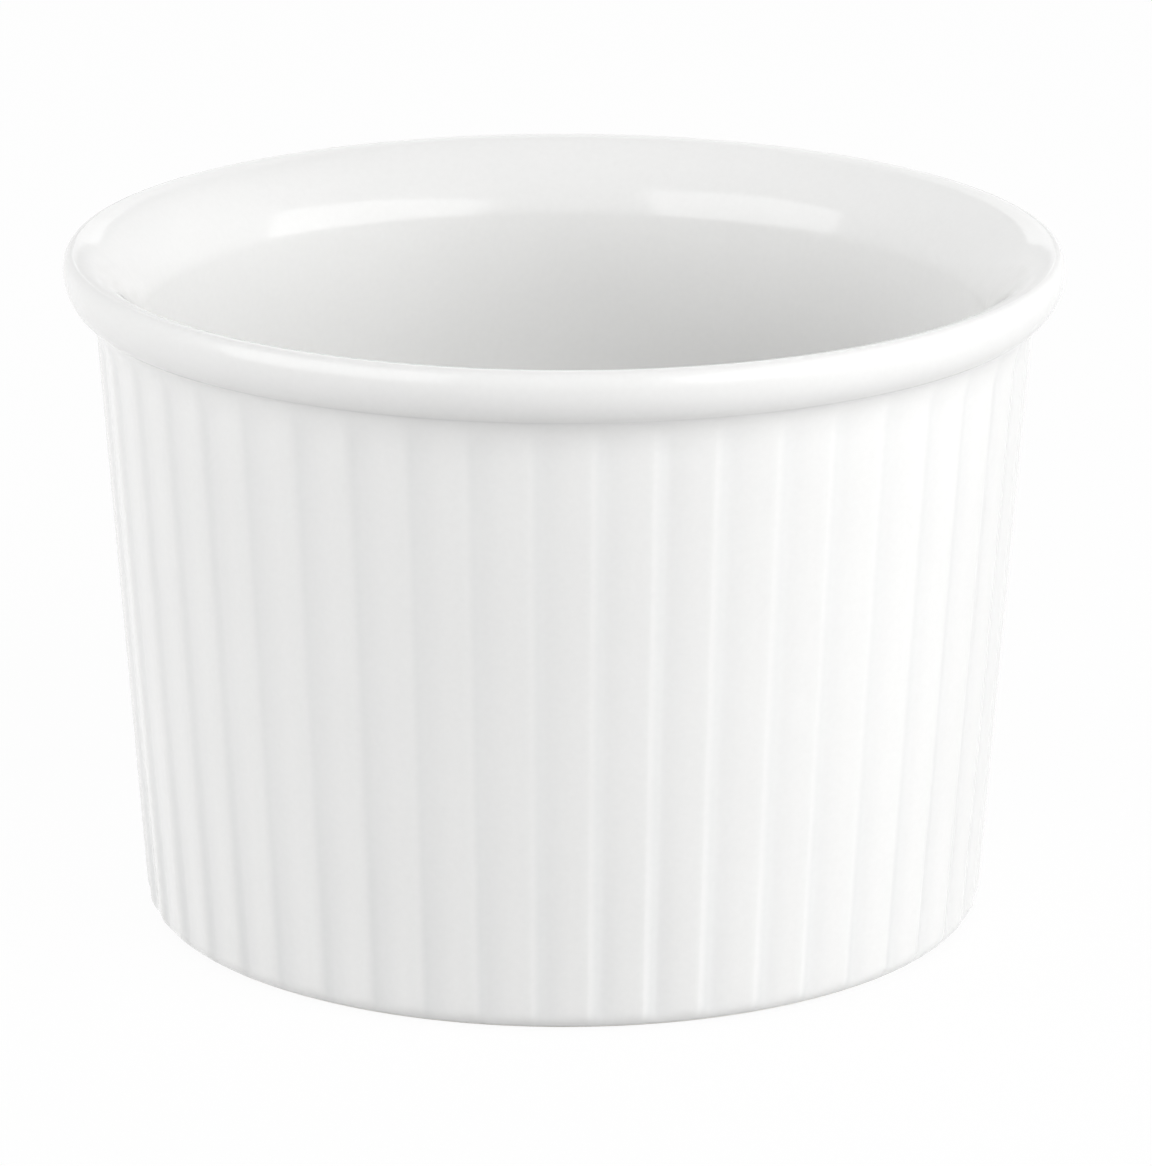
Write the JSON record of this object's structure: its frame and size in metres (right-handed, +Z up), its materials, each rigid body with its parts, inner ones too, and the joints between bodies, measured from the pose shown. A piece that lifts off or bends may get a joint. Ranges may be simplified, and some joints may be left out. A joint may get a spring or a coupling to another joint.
{
  "type": "souffle dish",
  "caption": "Deep round porcelain souffle dish with a pleated wall, a rolled lip and a bare foot ring, for baking and serving an individual portion.",
  "frame": {"origin": "centre of the dish in the plane of the foot ring's face, on the table", "axes": "+Z up along the axis of the dish; -Y is the side that faces the camera in the picture, +X to its right"},
  "size_m": [0.09, 0.09, 0.0613],
  "materials": {
    "porcelain": "dense white fired porcelain, under glaze",
    "bare_porcelain": "unglazed, ground smooth, matt",
    "white_glaze": "clear glossy glaze on white porcelain"
  },
  "bodies": {
    "root": {"foot_ring": "bare_porcelain", "floor_disc": "porcelain", "pleated_wall": "porcelain", "rolled_lip": "porcelain", "outside_glaze": "white_glaze", "inside_glaze": "white_glaze", "underside_glaze": "white_glaze"}
  },
  "joints": []
}
